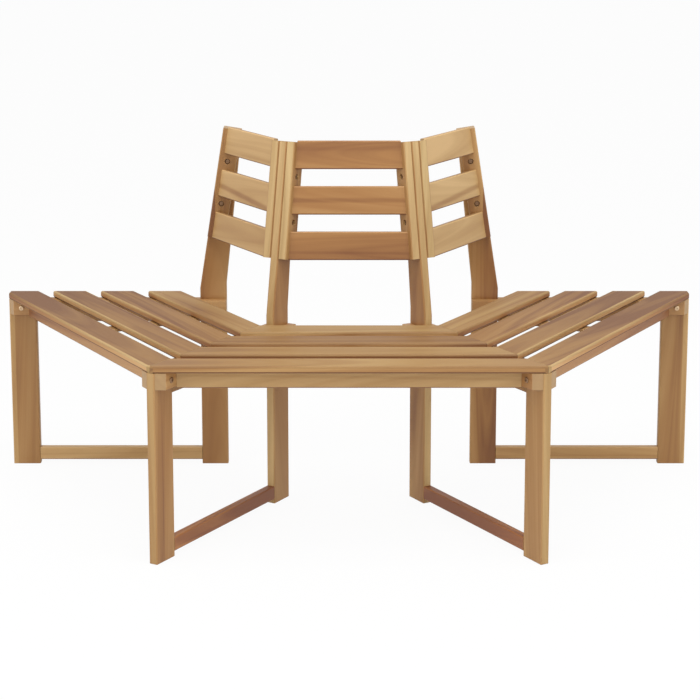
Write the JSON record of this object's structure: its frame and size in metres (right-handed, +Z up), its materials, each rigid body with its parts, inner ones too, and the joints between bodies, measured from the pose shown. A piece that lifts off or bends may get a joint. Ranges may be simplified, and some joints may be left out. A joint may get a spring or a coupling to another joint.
{
  "type": "tree bench",
  "caption": "Half-hexagon slatted wooden bench that wraps a tree trunk, with mitred seat sections, a leaning slatted back and board frames on legs and posts.",
  "frame": {"origin": "middle of the footprint's bounding box, on the ground", "axes": "+Z up; the seat faces -Y and the trunk's side is +Y; +X runs along the bench's open back"},
  "size_m": [1.6, 0.7094, 0.8121],
  "materials": {
    "seat_wood": "oiled, satin",
    "frame_wood": "oiled, satin",
    "back_wood": "oiled, satin",
    "bolt_metal": "dull zinc",
    "screw_metal": "zinc plated"
  },
  "bodies": {
    "root": {"leg_left_end": "frame_wood", "post_left_end": "frame_wood", "stretcher_left_end": "frame_wood", "frame_rail_left_end": "frame_wood", "leg_left_corner": "frame_wood", "post_left_corner": "frame_wood", "stretcher_left_corner": "frame_wood", "frame_rail_left_corner": "frame_wood", "leg_right_corner": "frame_wood", "post_right_corner": "frame_wood", "stretcher_right_corner": "frame_wood", "frame_rail_right_corner": "frame_wood", "leg_right_end": "frame_wood", "post_right_end": "frame_wood", "stretcher_right_end": "frame_wood", "frame_rail_right_end": "frame_wood", "seat_rail_left_end": "frame_wood", "cleat_left_end": "back_wood", "seat_rail_left_corner": "frame_wood", "cleat_left_corner": "back_wood", "seat_rail_centre_left": "frame_wood", "cleat_centre_left": "back_wood", "seat_rail_centre_right": "frame_wood", "cleat_centre_right": "back_wood", "seat_rail_right_corner": "frame_wood", "cleat_right_corner": "back_wood", "seat_rail_right_end": "frame_wood", "cleat_right_end": "back_wood", "seat_slat_left_1": "seat_wood", "seat_slat_left_2": "seat_wood", "seat_slat_left_3": "seat_wood", "seat_slat_left_4": "seat_wood", "apron_left": "seat_wood", "batten_left": "seat_wood", "back_slat_left_1": "back_wood", "back_slat_left_2": "back_wood", "back_slat_left_3": "back_wood", "seat_slat_centre_1": "seat_wood", "seat_slat_centre_2": "seat_wood", "seat_slat_centre_3": "seat_wood", "seat_slat_centre_4": "seat_wood", "apron_centre": "seat_wood", "batten_centre": "seat_wood", "back_slat_centre_1": "back_wood", "back_slat_centre_2": "back_wood", "back_slat_centre_3": "back_wood", "seat_slat_right_1": "seat_wood", "seat_slat_right_2": "seat_wood", "seat_slat_right_3": "seat_wood", "seat_slat_right_4": "seat_wood", "apron_right": "seat_wood", "batten_right": "seat_wood", "back_slat_right_1": "back_wood", "back_slat_right_2": "back_wood", "back_slat_right_3": "back_wood", "end_bolts": "bolt_metal", "corner_bolts": "bolt_metal", "sleeve_nuts": "bolt_metal", "rail_screws": "screw_metal", "batten_screws": "screw_metal"}
  },
  "joints": []
}
